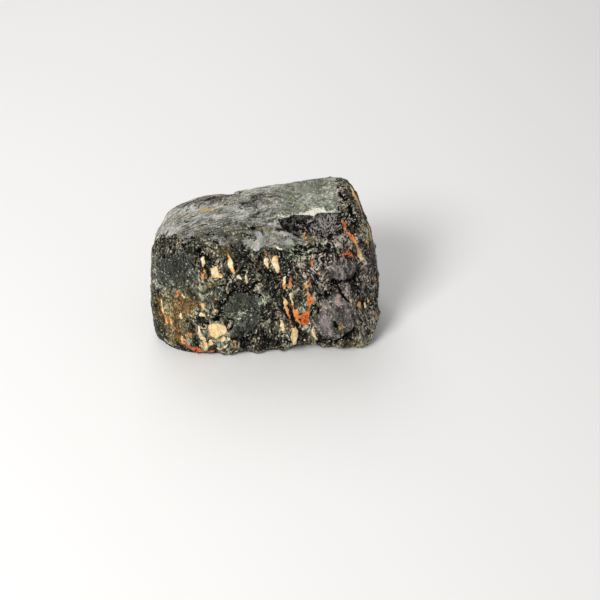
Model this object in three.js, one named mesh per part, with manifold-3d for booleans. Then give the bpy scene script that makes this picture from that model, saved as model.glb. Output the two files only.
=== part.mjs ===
// Raw black tourmaline: one palm-sized block, broken out of its pegmatite on all sides.
//
// Sizes are millimetres. +Z is up and the block rests on its flat underside at z = 0, with
// the origin at the middle of its footprint. +X runs along the block and -Y is its front,
// the broken face that shows the pale crystals.
//
// The block is one solid. It is made as nature made it: a lump bounded by fracture faces,
// from which a few flakes have been knocked off.
import * as THREE from "three";
import { mergeVertices } from "three/addons/utils/BufferGeometryUtils.js";
import Module from "manifold-3d";

// ---------------------------------------------------------------- driving dimensions
const LENGTH = 66; // left to right, over the widest part of the flanks
const DEPTH = 38.5; // front to back, at the foot
const HEIGHT = 42.3; // from the flat underside to the slab at the back right, the highest face
const EDGE_SHARPNESS = 26; // higher gives crisper edges between the fracture faces
const MESH_DETAIL = 17; // how many times each side of an icosahedron's face is divided
const RIPPLE_HEIGHT = 0.3; // half height of the broad waves on every face
const SPLINTER_WIDTH = 10.5; // spacing and height of the long steps down the back
const SPLINTER_HEIGHT = 1.2;

// A point deep inside the block, from which every face is seen.
const HEART = new THREE.Vector3(0, -0.5, 19);

// Each fracture face: the way it looks, and one point that it passes through.
const FACES = {
  front: { looks: [0, -1, 0.2], through: [0, -18.5, 6] },
  frontLeft: { looks: [-0.5, -0.85, 0.2], through: [-24, -15.5, 12] },
  frontRight: { looks: [0.7, -0.7, 0.25], through: [29, -12, 12] },
  left: { looks: [-1, 0, 0.05], through: [-33, 0, 12] },
  leftShoulder: { looks: [-0.75, -0.15, 0.6], through: [-29.5, -2, 31.5] },
  leftCrown: { looks: [-0.7, 0.45, 0.6], through: [-25.5, 8.5, 35.5] },
  right: { looks: [1, 0.05, 0.15], through: [33, -3, 11] },
  rightBack: { looks: [0.95, 0.3, 0.1], through: [31.5, 10, 14] },
  rightShoulder: { looks: [0.85, 0.1, 0.5], through: [27.5, 3, 36.5] },
  topLeft: { looks: [-0.15, 0, 1], through: [-10, 0, 38.7] },
  topSlab: { looks: [-0.05, -0.1, 1], through: [13, 3, 42] },
  topRoll: { looks: [-0.05, -0.5, 0.85], through: [-3, -9.5, 37.5] },
  brow: { looks: [0.05, -0.9, 0.45], through: [12.5, -10.5, 36] },
  back: { looks: [-0.1, 1, 0.15], through: [-12, 18.5, 10] },
  backBulge: { looks: [0, 1, 0.1], through: [12, 19.5, 9] },
  backLow: { looks: [0, 0.85, -0.5], through: [6, 18.5, 3] },
  backLeft: { looks: [-0.9, 0.45, 0], through: [-26.5, 12.5, 14] },
  backRight: { looks: [0.7, 0.75, 0.1], through: [27, 16, 14] },
  backShoulder: { looks: [-0.2, 0.7, 0.7], through: [-6, 10, 38.5] },
  backCrown: { looks: [0.1, 0.7, 0.7], through: [17, 14, 41] },
  underFront: { looks: [0.05, -0.7, -0.7], through: [-4, -17.5, 1.5] },
  underLeft: { looks: [-0.6, -0.75, -0.2], through: [-29.5, -14.5, 2.5] },
  underRight: { looks: [0.8, 0.05, -0.55], through: [30.5, -8, 2.5] },
  underBack: { looks: [0, 0.7, -0.7], through: [0, 17.5, 1.5] },
  under: { looks: [-0.05, 0.1, -1], through: [0, 0, -1.5] },
};

// Low swellings, where the crystals under the surface stand proud of it.
const SWELLINGS = [
  { at: [19, -15.5, 12.5], width: 6.5, height: 1.3 }, // the grey lens, low on the front right
  { at: [24.5, -13.5, 3.5], width: 4.5, height: 0.9 }, // the rough lip beside the hollow
  { at: [-20, -11, 34.5], width: 7, height: 0.9 }, // the rim of the top, at the left
  { at: [-4, 19, 12], width: 10, height: 0.8 }, // the middle of the back
];

// The flake missing in front of the slab, which leaves a dark little cliff.
const STEP = {
  leftEnd: 3.2, // where the cliff runs out into the top face
  rightEnd: 34,
  footY: -7.5, // the cliff's foot, and how far it leans back for each millimetre of height
  lean: 0.7,
  floorZ: 36.3, // the ledge at the cliff's foot, at the middle
  floorFall: 0.2, // how steeply the ledge falls towards the front
  leftEdge: 9.5, // left of here the ledge climbs back to the top face
  leftRise: 0.5,
  rightEdge: 16.5, // and right of here it curves away down the corner
  rightCurve: 0.06,
};

// Where flakes broke off and left shallow hollows. Each is the part of an ellipsoid that
// bites into the stone. `turn` is about the vertical and `tip` is about the front-to-back.
const SCALLOPS = [
  { at: [12.6, -20.5, 0], radii: [9, 7, 5.9], tip: 0.1 }, // arch under the front edge
  { at: [28.8, 1.5, 43.6], radii: [7.6, 17, 4.6], turn: 0.14, tip: 0.35 }, // slab's chipped edge
  { at: [-6, -33, 22], radii: [15.5, 18, 19.5], tip: -0.4 }, // smooth hollow in the front
];

// Corners struck off flat, given in the same way as the faces.
const CHIPS = [
  { looks: [0.72, 0.66, -0.2], through: [25.6, 16.2, 9] },
  { looks: [0.8, 0.55, 0.22], through: [26.6, 13.4, 26] },
  { looks: [-0.36, 0.86, 0.36], through: [-19, 13.6, 28] },
  { looks: [-0.15, 0.93, -0.34], through: [-14, 16.6, 7] },
  { looks: [-0.93, 0.2, -0.3], through: [-31.6, 6, 6] },
  { looks: [0.08, 0.97, 0.2], through: [9, 17, 24] },
];

// The flat underside that the block rests on.
const GROUND = { looks: [0, 0, -1], through: [0, 0, 0] };

// Open cracks: long, thin bites.
const CRACKS = [
  { at: [20.4, -14.3, 24.9], radii: [5, 1.8, 0.55], turn: 0.2, tip: 0.05 },
  { at: [-10.5, -16, 20.8], radii: [3.7, 1.5, 0.55], turn: 0.2, tip: -0.92 },
  { at: [-3.7, -15, 24.5], radii: [3.6, 1.5, 0.55], turn: 0.1, tip: -0.77 },
];

// ------------------------------------------------------------------------- the lump
// How far each face lies from the heart, along the way it looks.
const faces = Object.values(FACES).map(({ looks, through }) => {
  const normal = new THREE.Vector3(...looks).normalize();
  const distance = new THREE.Vector3(...through).sub(HEART).dot(normal);
  return { normal, distance };
});

// The distance from the heart to the surface: the nearest face, with its edges worn round.
function reach(direction) {
  let sum = 0;
  for (const { normal, distance } of faces) {
    const facing = Math.max(0, normal.dot(direction)) / distance;
    sum += facing ** EDGE_SHARPNESS;
  }
  return sum ** (-1 / EDGE_SHARPNESS);
}

// Broad, uneven waves, as a broken face has. They never repeat over the block.
function ripple({ x, y, z }) {
  const slow = Math.sin(0.23 * x + 0.31 * z + 1.7 * Math.sin(0.11 * y + 0.5));
  const cross = Math.sin(0.37 * y - 0.19 * x + 1.3 * Math.sin(0.17 * z + 2.0));
  const quick = Math.sin(0.71 * x - 0.43 * y + 0.59 * z + 1.1);
  return RIPPLE_HEIGHT * (0.5 * slow + 0.35 * cross + 0.25 * quick);
}

const swellings = SWELLINGS.map(({ at, width, height }) => {
  return { middle: new THREE.Vector3(...at), width, height };
});

function swelling(point) {
  let total = 0;
  for (const { middle, width, height } of swellings) {
    total += height * Math.exp(-point.distanceToSquared(middle) / (0.5 * width * width));
  }
  return total;
}

// The back broke along the steep grain of the crystals, in long low steps like torn wood.
// Each step climbs slowly and drops back over the last quarter of its width.
function splinters({ x, y, z }, direction) {
  const atTheBack = THREE.MathUtils.smoothstep(direction.y, 0.1, 0.5);
  const belowTheTop = 1 - THREE.MathUtils.smoothstep(direction.z, 0.25, 0.6);
  const across = (0.85 * x + 0.6 * y + 0.22 * z) / SPLINTER_WIDTH;
  const strip = across + 0.3 * Math.sin(0.17 * z + 0.9) + 0.2 * Math.sin(0.31 * x);
  const fraction = strip - Math.floor(strip);
  const climb = Math.min(fraction / 0.75, (1 - fraction) / 0.25);
  return SPLINTER_HEIGHT * atTheBack * belowTheTop * (climb - 0.5);
}

function lumpGeometry() {
  const ball = new THREE.IcosahedronGeometry(1, MESH_DETAIL);
  const places = ball.getAttribute("position");
  const direction = new THREE.Vector3();
  const point = new THREE.Vector3();
  for (let i = 0; i < places.count; i++) {
    direction.fromBufferAttribute(places, i).normalize();
    point.copy(direction).multiplyScalar(reach(direction)).add(HEART);
    const relief = ripple(point) + swelling(point) + splinters(point, direction);
    point.addScaledVector(direction, relief);
    places.setXYZ(i, point.x, point.y, point.z);
  }
  return ball;
}

// ----------------------------------------------------------------- the missing flakes
// A box bent to the shape of the flake: its floor is the ledge and its back is the cliff.
function stepGeometry() {
  const flake = new THREE.BoxGeometry(1, 1, 1, 18, 6, 3);
  const places = flake.getAttribute("position");
  const skyZ = HEIGHT + 8;
  const outsideY = -30;
  for (let i = 0; i < places.count; i++) {
    const along = places.getX(i) + 0.5;
    const inward = places.getY(i) + 0.5;
    const upward = places.getZ(i) + 0.5;
    const x = THREE.MathUtils.lerp(STEP.leftEnd, STEP.rightEnd, along);
    const floorY = THREE.MathUtils.lerp(outsideY, STEP.footY, inward);
    const floor =
      STEP.floorZ +
      STEP.floorFall * (floorY - STEP.footY) +
      STEP.leftRise * Math.max(0, STEP.leftEdge - x) -
      STEP.rightCurve * Math.max(0, x - STEP.rightEdge) ** 2;
    const z = THREE.MathUtils.lerp(floor, skyZ, upward);
    const jag = 0.3 * Math.sin(0.9 * x) + 0.22 * Math.sin(1.7 * x + 1);
    const cliffY = STEP.footY + STEP.lean * Math.max(0, z - STEP.floorZ) + jag;
    places.setXYZ(i, x, THREE.MathUtils.lerp(outsideY, cliffY, inward), z);
  }
  return flake;
}

function biteGeometry({ at, radii, turn = 0, tip = 0 }) {
  const detail = Math.ceil(3 + 0.55 * Math.max(...radii));
  return new THREE.IcosahedronGeometry(1, detail)
    .scale(...radii)
    .rotateY(tip)
    .rotateZ(turn)
    .translate(...at);
}

// Everything beyond a plane: a large box turned so that one of its faces lies on the plane.
function beyondGeometry({ looks, through }) {
  const size = 2 * LENGTH;
  const normal = new THREE.Vector3(...looks).normalize();
  const turn = new THREE.Quaternion().setFromUnitVectors(new THREE.Vector3(0, 0, 1), normal);
  return new THREE.BoxGeometry(size, size, size)
    .translate(0, 0, size / 2)
    .applyQuaternion(turn)
    .translate(...through);
}

// ------------------------------------------------------------------ cutting and joining
const wasm = await Module();
wasm.setup();

function solidOf(geometry) {
  const bare = geometry.clone();
  bare.deleteAttribute("normal");
  bare.deleteAttribute("uv");
  const merged = mergeVertices(bare, 1e-4);
  return new wasm.Manifold(
    new wasm.Mesh({
      numProp: 3,
      vertProperties: new Float32Array(merged.getAttribute("position").array),
      triVerts: new Uint32Array(merged.index.array),
    }),
  );
}

function geometryOf(solid) {
  const { vertProperties, triVerts } = solid.getMesh();
  const geometry = new THREE.BufferGeometry();
  geometry.setAttribute("position", new THREE.BufferAttribute(vertProperties, 3));
  geometry.setIndex(new THREE.BufferAttribute(triVerts, 1));
  return geometry;
}

function blockGeometry() {
  const bites = [...SCALLOPS, ...CRACKS].map(biteGeometry);
  const chips = [...CHIPS, GROUND].map(beyondGeometry);
  let block = solidOf(lumpGeometry());
  for (const flake of [stepGeometry(), ...bites, ...chips]) {
    block = block.subtract(solidOf(flake));
  }
  return geometryOf(block);
}

// Centres the block over the origin, stands it on z = 0 and brings it to its overall size.
function toOverallSize(geometry) {
  geometry.computeBoundingBox();
  const { min, max } = geometry.boundingBox;
  geometry.translate(-(min.x + max.x) / 2, -(min.y + max.y) / 2, -min.z);
  geometry.scale(LENGTH / (max.x - min.x), DEPTH / (max.y - min.y), HEIGHT / (max.z - min.z));
  geometry.computeVertexNormals();
  return geometry;
}

// ------------------------------------------------------------------- the finished stone
const blackTourmaline = new THREE.MeshStandardMaterial({
  name: "black_tourmaline",
  color: 0x4a4843,
  roughness: 0.7,
  metalness: 0,
});

const stone = new THREE.Mesh(toOverallSize(blockGeometry()), blackTourmaline);
stone.name = "tourmaline_block";

const part = new THREE.Group();
part.name = "raw_black_tourmaline";
part.add(stone);

export default part;
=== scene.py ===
# %% [markdown]
# # A raw black tourmaline
#
# Black tourmaline, or schorl, grows as bundles of long dark crystals. Broken out of the rock, a
# raw piece is a block bounded by fractures, with a steep fibrous grain, a dusty top and pale
# feldspar grown into its front.
#
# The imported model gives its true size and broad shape. This lesson adds the fine broken surface
# and its colours, in the model's own frame: in metres, with +Z up and the front facing -Y.

# %% Load the block
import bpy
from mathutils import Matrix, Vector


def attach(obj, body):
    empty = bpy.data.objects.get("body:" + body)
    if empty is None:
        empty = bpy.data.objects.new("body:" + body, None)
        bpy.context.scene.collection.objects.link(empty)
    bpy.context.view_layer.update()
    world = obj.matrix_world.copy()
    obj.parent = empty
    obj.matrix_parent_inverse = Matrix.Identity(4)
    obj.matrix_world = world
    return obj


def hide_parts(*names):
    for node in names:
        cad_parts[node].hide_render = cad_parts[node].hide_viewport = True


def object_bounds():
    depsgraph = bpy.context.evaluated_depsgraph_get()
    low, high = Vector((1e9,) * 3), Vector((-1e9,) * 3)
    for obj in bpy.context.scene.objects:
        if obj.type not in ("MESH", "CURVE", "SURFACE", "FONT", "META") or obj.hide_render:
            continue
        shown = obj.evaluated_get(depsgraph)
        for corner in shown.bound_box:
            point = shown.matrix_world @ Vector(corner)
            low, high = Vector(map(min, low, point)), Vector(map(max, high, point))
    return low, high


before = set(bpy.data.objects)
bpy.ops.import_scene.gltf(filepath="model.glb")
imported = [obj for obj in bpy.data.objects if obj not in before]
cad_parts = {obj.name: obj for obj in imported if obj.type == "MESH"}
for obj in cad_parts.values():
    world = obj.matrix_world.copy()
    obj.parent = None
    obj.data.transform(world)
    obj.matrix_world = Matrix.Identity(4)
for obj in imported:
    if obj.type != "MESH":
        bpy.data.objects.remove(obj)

cad_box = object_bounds()
print("the block's box, in metres:", cad_box)

# %% Blender's and Python's own helpers
import math

import bpy
import numpy as np
from mathutils import Vector
from mathutils.bvhtree import BVHTree
from mathutils.kdtree import KDTree

MM = 0.001  # sizes below are in millimetres, and Blender's are in metres
SEED = 4
chance = np.random.default_rng(SEED)
print("all chance starts from seed", SEED)

# %% [markdown]
# ## An even skin
#
# The broken grain has to be real relief, because it shows along the outline, and a displacement
# needs many small, even faces. Subdividing would keep the model's long, thin triangles and
# stretch the grain. A voxel remesh gives faces of one size, and a little smoothing melts the
# model's own facets away.

# %% Remesh a copy of the block
SKIN_SPACING = 0.38  # a point each 0.38 mm keeps the stone under 200,000 triangles
SMOOTHING, SMOOTHING_ROUNDS = 0.5, 7

scene = bpy.context.scene
stone = bpy.data.objects.new("raw_tourmaline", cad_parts["tourmaline_block"].data.copy())
scene.collection.objects.link(stone)

remesh = stone.modifiers.new("even skin", "REMESH")
remesh.mode = "VOXEL"
remesh.voxel_size = SKIN_SPACING * MM

soften = stone.modifiers.new("melted facets", "SMOOTH")
soften.factor = SMOOTHING
soften.iterations = SMOOTHING_ROUNDS

shaped = stone.evaluated_get(bpy.context.evaluated_depsgraph_get())
skin = bpy.data.meshes.new_from_object(shaped)
stone.modifiers.clear()
stone.data = skin
print("the skin has", len(skin.vertices), "points and", len(skin.polygons), "faces")


# %% Read the skin as numbers
def read_skin(field):
    """Three numbers for each point of the skin."""
    values = np.empty(len(skin.vertices) * 3)
    skin.vertices.foreach_get(field, values)
    return values.reshape(-1, 3)


places = read_skin("co") / MM
facing = read_skin("normal")
x, y, z = places.T
upward = facing[:, 2]  # 1 where the stone faces up, and 0 on a wall
print("the skin spans", np.ptp(places, axis=0).round(1), "mm")

# %% [markdown]
# ## Noise and the grain
#
# All the relief comes from one smooth random noise, worked out here for all points at once, so
# that it is quick and the same on each run. Squeezing the points before the noise is read gives
# it a grain: the bumps come out long in the way that the points were squeezed.

# %% Smooth noise
LAYER_SHIFT = 17.3  # how far apart two layers of noise are read, so that they differ
NOISE_GAIN = 1.5  # brings the noise to about -1 to 1
shuffle = chance.permutation(256)
arrows = chance.normal(size=(256, 3))
arrows /= np.linalg.norm(arrows, axis=1)[:, None]


def noise(points, size, layer):
    """Smooth noise from about -1 to 1, with bumps `size` mm apart. Each layer differs."""
    cells = points / size + LAYER_SHIFT * layer
    corner = np.floor(cells).astype(int)
    share = cells - corner
    ease = share**3 * (share * (share * 6 - 15) + 10)  # starts and ends level
    total = np.zeros(len(points))
    for step in np.ndindex(2, 2, 2):
        i, j, k = ((corner + step) & 255).T
        pick = shuffle[(shuffle[(shuffle[i] + j) & 255] + k) & 255]
        slope = np.einsum("ij,ij->i", arrows[pick], share - step)
        total += slope * np.prod(np.where(step, ease, 1 - ease), axis=1)
    return NOISE_GAIN * total


RIDGE_GAIN = 3.2  # brings ridges to about -1 to 1


def ridges(points, size, layer):
    """Noise folded into sharp crests with round valleys between them."""
    return 1 - RIDGE_GAIN * np.abs(noise(points, size, layer))


def added(kind, points, *layers):
    """Noise or ridges of several sizes added up, each with its height, size and layer."""
    return sum(height * kind(points, size, layer) for height, size, layer in layers)


def wander(size, far, layer):
    """A smooth random shift for each point, up to about `far` mm each way."""
    return far * np.stack([noise(places, size, layer + i) for i in range(3)], axis=1)


print("noise runs up to", round(noise(places, 2, 40).max(), 2))


# %% Grain, steps and soft places
def squeezed(points, way, share):
    """The points with their spread along `way` cut to a share, to give noise a grain."""
    way = np.array(way) / np.linalg.norm(way)
    return points - np.outer(points @ way, way) * (1 - share)


def ramp(values, start, end):
    """0 before start, 1 after end and smooth between them. End may be the lower one."""
    share = np.clip((values - start) / (end - start), 0, 1)
    return share * share * (3 - 2 * share)


def within(*sides):
    """1 inside a box with soft sides, each a coordinate with its start and end, in mm."""
    return math.prod(ramp(*side) for side in sides)


RISER_START = 0.6  # where the flat of each step ends and its riser begins


def stepped(level):
    """A rising field turned into flat steps, one for each whole number, with short risers."""
    return np.floor(level) + ramp(level % 1, RISER_START, 1) - level


bent = places + wander(3.5, 1.3, 60)


def near(middle, radius, amount=1):
    """An amount at a point, in mm, that fades out past the radius, with an uneven border."""
    away = np.linalg.norm((bent - middle) / radius, axis=1)
    return amount * np.exp(-2 * away**2)


def blots(rows):
    """Such places added up. Each row is a middle, a radius and, if it isn't 1, an amount."""
    return sum(near(*row) for row in rows)


print("steps leave their slope by up to", round(np.abs(stepped(x)).max(), 2))

# %% [markdown]
# ## Where each kind of break lies
#
# A broken stone shows a different surface on each side, because the crystals split in one way
# along their length and in another across it. Each kind of break gets a share from 0 to 1 at
# every point, so that neighbours fade into each other along wandering borders.

# %% The top, down to the brow over the front
BROW = [  # (across, back) where the dusty top ends and the crumbly front begins
    (-33, 2), (-29.8, -2.3), (-26.6, -5.6), (-24, -7.8), (-20.6, -10), (-16.7, -11),
    (-12.3, -10.8), (-6.8, -11.9), (-3, -12.3), (4, -12.1), (9.9, -11.8), (15.2, -11),
    (17.5, -9), (19, -3), (33, -3),
]
BROW_BLUR = 1.2
CROWN = 38.2  # above this height only the flattest places are top
uneven = places + wander(2.5, 1.3, 25)
behind_brow = uneven[:, 1] - np.interp(uneven[:, 0], *zip(*BROW))
top = within((upward, 0.2, 0.5), (behind_brow, -BROW_BLUR, BROW_BLUR))
top = np.where(z > CROWN, ramp(upward, 0.5, 0.8), top)
top *= 1 - 0.7 * ramp(uneven[:, 0], 19.5, 21)  # the right corner is crumbly
top *= 1 - 0.5 * within((uneven[:, 0], 8, 14), (z, 38, 37))  # and so is the shelf's right end
walls = 1 - top


def tell(name, share):
    """Prints how much of the stone has a share of more than a half."""
    print(name, "covers", round(100 * np.mean(share > 0.5), 1), "% of the stone")


tell("the top", top)

# %% The slab, the little cliff at its front, and two flanks
slab = top * within((uneven[:, 0], 3, 6.5), (x, 21, 19), (uneven[:, 1], 15, 10), (z, 38.2, 39.4))
cliff = within((x, 2.5, 4.5), (x, 24, 19), (y, -9.4, -8.2), (y, -2.5, -4), (z, 35.4, 36.4))
cliff *= np.maximum(ramp(upward, 0.93, 0.82), ramp(z, 38.7, 38.1))
corner = within((x, 19.5, 22), (z, 29, 34))
left_flank = within((facing[:, 0], -0.55, -0.85), (upward, 0.5, 0.2))
tell("the cliff", cliff)

# %% [markdown]
# ## Clean faces
#
# In some places the front broke clean and shows a smooth face with a sharp outline. A soft round
# blot would look like a stain, so each face is written as its corners, as seen from the front,
# and each point's distance to the nearest side is worked out.

# %% Distance from an outline
ON_FRONT = -0.2  # a point faces the front where its normal's Y is below this


def outline_distance(points, corners):
    """How far points lie from an outline with straight sides, less than 0 inside it."""
    nearest = np.full(len(points), np.inf)
    inside = np.zeros(len(points), bool)
    for start, end in zip(corners, corners[1:] + corners[:1]):
        start, side = np.array(start), np.subtract(end, start)
        offset = points - start
        share = np.clip(offset @ side / (side @ side), 0, 1)
        nearest = np.minimum(nearest, np.linalg.norm(offset - np.outer(share, side), axis=1))
        crosses = (start[1] > points[:, 1]) != (start[1] + side[1] > points[:, 1])
        run = (points[:, 1] - start[1]) / np.where(side[1] == 0, 1, side[1])
        inside ^= crosses & (points[:, 0] < start[0] + side[0] * run)
    return np.where(inside, -nearest, nearest)


square = [(0, 0), (1, 0), (1, 1), (0, 1)]
print("a point lies", outline_distance(np.array([[1.5, 0.5]]), square)[0], "beside a square")

# %% Faces on the front
FACES = {  # how far it stands out, its edge's softness, both in mm, how calm it is, and corners
    "lens": (0.3, 2, 0.65, [
        (20.9, 22.4), (22.8, 19.5), (24, 17), (25, 13), (24.9, 10.6), (23, 9.6), (19.7, 8),
        (17.5, 7.7), (15.2, 9.4), (13.9, 12.5), (14, 15.5), (15.1, 17.6), (16.2, 19.6), (18.5, 22),
    ]),
    "corner": (0.2, 2, 0.15, [
        (25, 17.7), (27.1, 15.5), (29.5, 12.3), (31.5, 8.5), (31.5, 6.5), (28.6, 5.2),
        (25.7, 7.5), (25.6, 11), (25.5, 14.2),
    ]),
    "upper": (0.2, 2, 0.5, [
        (18.2, 31.3), (21.1, 31.4), (24, 29.3), (25.2, 26.6), (24.5, 25.2), (21.6, 24.9),
        (18.7, 25), (17.2, 27), (17.3, 29.5),
    ]),
    "middle": (-0.35, 0.7, 0.8, [
        (-9.6, 19.5), (-7.5, 22), (-4.7, 20.2), (-1.7, 21.8), (-0.5, 19.4), (-0.5, 16),
        (-2.3, 11), (-4.4, 7), (-6.7, 6.8), (-9.6, 8.5), (-9.8, 13), (-11.6, 14.8), (-11.6, 17),
    ]),
    "small": (0.25, 0.7, 0.8, [
        (-13.2, 24.3), (-10.6, 25), (-10.1, 23), (-10.5, 20), (-12.2, 18.2), (-13.4, 20.4),
        (-13.6, 22.5),
    ]),
    "left": (0.15, 1.5, 0.9, [
        (-29.4, 29.4), (-23.4, 33.3), (-18.6, 32.6), (-17.8, 27.6), (-20, 24.4), (-24.3, 21.6),
        (-28.6, 20.4), (-30, 24.9),
    ]),
}
CRISP = 1  # a face whose edge is less soft than this, in mm, has gaps along it
WIDEST_GAP = 0.5

front_view = (bent + wander(1.6, 0.6, 80))[:, [0, 2]]
on_front = ramp(facing[:, 1], -0.05, ON_FRONT - 0.1)
gap_width = WIDEST_GAP * ramp(noise(places, 4, 90), 0, 0.4)
face = {}
face_calm = face_relief = 0
face_edge = np.inf
for name, (rise, soft, calmness, corners) in FACES.items():
    away = outline_distance(front_view, corners)
    face[name] = ramp(away, soft, -soft) * on_front
    face_calm = face_calm + calmness * face[name]
    face_relief = face_relief + rise * ramp(away, 0.6 * soft, -soft) * on_front
    if soft < CRISP:
        face_edge = np.minimum(face_edge, np.abs(away) - gap_width / 2 + (1 - on_front))
    tell(f"the {name} face", face[name])

# %% Calm places and worn edges
CALM = [  # the middle and the radius in mm, and how calm it is
    ((-27, -11, 26), (6, 8, 9)),  # the worn left end of the front
    ((2, -10.8, 35.5), (9, 3, 3)),  # the shelf in front of the cliff
    ((-12, -8, 37), (10, 2.4, 3)),  # the dark roll behind the brow
    ((-15, -12.5, 33.6), (14, 3, 2.6), 0.6),  # the front just below the brow
]
WORN = [((26, 4, 38.5), (6.5, 12, 10)), ((20.5, 10, 42), (5, 6, 4)), ((31, -3, 29), (3, 9, 7))]
calm = np.clip(blots(CALM), 0, 1)
calm = np.maximum.reduce([calm, face_calm, 0.8 * slab, 0.6 * left_flank])
worn = np.clip(blots(WORN), 0, 1)
tell("the calm", calm)

# %% [markdown]
# ## The broken surface
#
# Relief of several kinds is added up, in millimetres and at its real size: splinters on the
# walls, which are the split sides of needle crystals, steep and leaning a little to the left;
# small flat chips that tilt their own way; thin worn leaves on the top, seen nearly edge on;
# flutes down the little cliff; and crumbs along the brow.
#
# It could be sculpted by hand, but a rule for each kind of break covers every side at once and
# stays the same when the block changes.

# %% Splinters on the walls
GRAIN_WAY = (-0.2, 0, 1)
SPLINTER_HEIGHT = 0.25

along_grain = squeezed(places, GRAIN_WAY, 0.25) + wander(6, 0.5, 1)
splinter_level = added(noise, along_grain, (4.5, 4.2, 22), (2.2, 1.9, 23))
splinters = SPLINTER_HEIGHT * (splinter_level + stepped(splinter_level))
splinters += added(ridges, along_grain, (0.1, 1.6, 4), (0.1, 0.9, 5))  # thin needles
lumps = added(noise, places, (0.3, 6.5, 6), (0.16, 2.6, 7))
print("splinters spread over", round(np.ptp(splinters), 2), "mm")

# %% Chips
def search_tree(points):
    """A tree that quickly finds the points close to a place."""
    tree = KDTree(len(points))
    for index, point in enumerate(points):
        tree.insert(point, index)
    tree.balance()
    return tree


wavy = places + wander(1.8, 0.5, 8)
low, high = places.min(axis=0), places.max(axis=0)


def chipped(size, tilt):
    """Relief of flat breaks about `size` mm apart, each tilted its own way."""
    count = int(np.prod(high - low) / size**3)
    middles = chance.uniform(low, high, size=(count, 3))
    tilts = chance.normal(scale=tilt, size=(count, 3))
    nearest = search_tree(middles)
    own = np.array([nearest.find(place)[1] for place in wavy])
    raised = np.einsum("ij,ij->i", places - middles[own], tilts[own])
    return 0.5 * np.tanh(raised / 0.5)


chips = chipped(size=3.2, tilt=0.22) + chipped(size=1.4, tilt=0.18)
print("chips spread over", round(np.ptp(chips), 2), "mm")

# %% Leaves on the top
LEAF_WAY = (1, 0.12, 0)
LEAF_HEIGHT = 0.24
LEAF_SPACING = 1.7  # from one leaf's edge to the next, front to back
LEAF_BOW = 0.01  # how much the leaves curve forward towards the left end

along_leaf = squeezed(places, LEAF_WAY, 0.38) + wander(9, 1.2, 11) + wander(2.4, 0.5, 50)
leaf_level = (y + LEAF_BOW * (x - 2) ** 2) / LEAF_SPACING
leaf_level += added(noise, along_leaf, (2.2, 6, 14), (0.9, 2.2, 15))
leaves = LEAF_HEIGHT * stepped(leaf_level) + 0.02 * ridges(along_leaf, 1.2, 16)
leaves += added(noise, along_leaf, (0.4, 6, 14), (0.2, 2.8, 27))
print("about", round(np.ptp(leaf_level)), "leaves from front to back")

# %% Flutes down the little cliff, and crumbs along the brow
DOWN_CLIFF = (-0.15, -0.6, 1)
flutes = 0.45 * ridges(squeezed(places, DOWN_CLIFF, 0.3), 2.1, 17) - 0.5
flutes += 0.34 * ridges(squeezed(places, DOWN_CLIFF, 0.4), 0.9, 18)
brow = within((np.abs(behind_brow + 1.5), 3, 1), (upward, 0.2, 0.4), (z, 38.5, 37.5)) * (1 - cliff)
crumbs = added(noise, places, (0.3, 1.1, 19), (0.2, 2, 24))
tell("the brow", brow)

# %% The edge of the upper layer, over the left half, and pits
LAYER_RISE, LAYER_FADE = 0.5, 5  # how high the edge is, and how far from it that fades out
past_edge = uneven[:, 0] + 0.2 + 0.78 * uneven[:, 1]  # the edge runs slantwise
layer = LAYER_RISE * np.tanh(past_edge / 0.4) * np.exp(-np.abs(past_edge) / LAYER_FADE) * top
layer *= ramp(y, -6, -3)
pits = -0.45 * ramp(noise(squeezed(places, GRAIN_WAY, 0.6), 1.3, 20), 0.45, 0.75)
print("the upper layer's edge is", round(np.ptp(layer), 2), "mm high")

# %% All relief together
SWELLINGS = [  # the middle and the radius in mm, and how far it stands out
    ((19.5, -17, 14), (6, 5, 7), 0.4),  # the grey lens
    ((20, -18, 4.4), (6, 5, 1.6), -0.9),  # the undercut below it
    ((20.5, -13.5, 28.4), (6, 5, 2.6), 0.4),  # the grey swelling above it
    ((20.5, -14.5, 24.3), (5.5, 5, 1.2), -1),  # the gap between the two
    ((27.5, -11.5, 20), (1.3, 5, 7), 0.6),  # the rib down the right-hand corner
    ((25.4, -12.5, 25), (1, 5, 5), -0.6),  # the groove beside the rib
    ((-15, 8, 37), (9, 8, 5), 0.9),  # the crown of the left half
]
QUIET, RUBBED = 0.75, 0.9  # how much of its fine relief a calm wall loses, and a worn edge
fine = (
    walls * (1 - QUIET * calm) * (1 - RUBBED * worn) * (splinters + 0.6 * chips + pits)
    + top * (1 - 0.75 * slab) * (1 - 0.5 * calm) * (leaves + 0.12 * chips)
    + layer
    + cliff * flutes
    + brow * crumbs
    + sum(face.values()) * 0.12 * ridges(along_grain, 1.1, 91)
    + corner * (1 - 0.95 * worn) * (0.2 * chips + 0.4 * crumbs)
)
fine += 0.05 * noise(places, 0.8, 21) + 0.1 * slab * noise(places, 1.5, 26)
broad = walls * (1 - 0.6 * calm) * (1 - RUBBED * worn) * lumps + face_relief + blots(SWELLINGS)
print("fine relief spreads over", round(np.ptp(fine), 2), "mm")

# %% [markdown]
# ## Marks stamped into the surface
#
# The pale feldspar, the rust round it and the open cracks have places of their own. Each one is a
# line of stations, with its width at each, as seen from one side of the block. It is divided
# finely and dropped onto the surface along the line of sight, so that it lies on the stone from
# any side. Each skin point keeps how far it is from the nearest mark's edge. That distance is
# smooth, so the material can cut a crisper edge from it than painted points could hold.

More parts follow.
